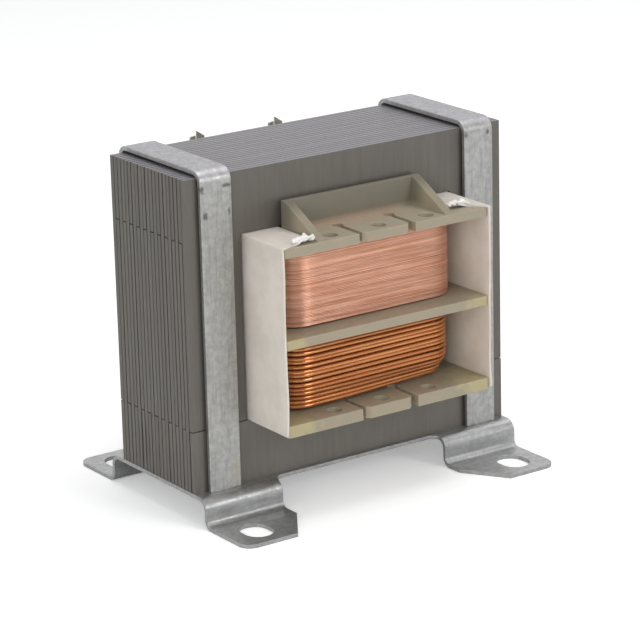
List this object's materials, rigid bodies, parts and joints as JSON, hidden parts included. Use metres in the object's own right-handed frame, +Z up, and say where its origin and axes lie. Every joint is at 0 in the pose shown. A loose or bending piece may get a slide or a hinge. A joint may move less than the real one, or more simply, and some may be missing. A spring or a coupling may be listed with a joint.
{
  "type": "laminated chassis transformer",
  "caption": "Chassis-mount mains transformer: interleaved EI core, split bobbin with a fine winding over a heavy one, clamping straps and a slotted foot plate.",
  "frame": {"origin": "centre of the footprint, on the plane that the four feet stand on", "axes": "+Z up through the core, +X along the core's long side, front face of the core towards -Y"},
  "size_m": [0.0964, 0.08, 0.0896],
  "materials": {
    "base_plate": "galvanised sheet steel, dull, with faint mottling",
    "strap": "galvanised strip steel, satin, scuffed at the bends",
    "core_sheet": "annealed silicon steel sheets, grey-brown, satin",
    "bobbin": "natural nylon, slightly translucent, with yellowed varnish",
    "fine_wire": "fine enamelled copper wire, satin",
    "heavy_wire": "heavy enamelled copper wire, glossy",
    "card": "pressed insulating card, matt, torn at the corners",
    "tag": "tinned brass sheet, dull"
  },
  "bodies": {
    "root": {"base_plate": "base_plate", "strap_left": "strap", "strap_right": "strap", "e_sheets_yoke_up": "core_sheet", "e_sheets_yoke_down": "core_sheet", "i_sheets_bottom": "core_sheet", "i_sheets_top": "core_sheet", "bobbin": "bobbin", "upper_winding": "fine_wire", "lower_winding": "heavy_wire", "insulation_card_left": "card", "insulation_card_right": "card", "tag_upper_left": "tag", "tag_upper_right": "tag", "tag_lower_left": "tag", "tag_lower_right": "tag"}
  },
  "joints": []
}
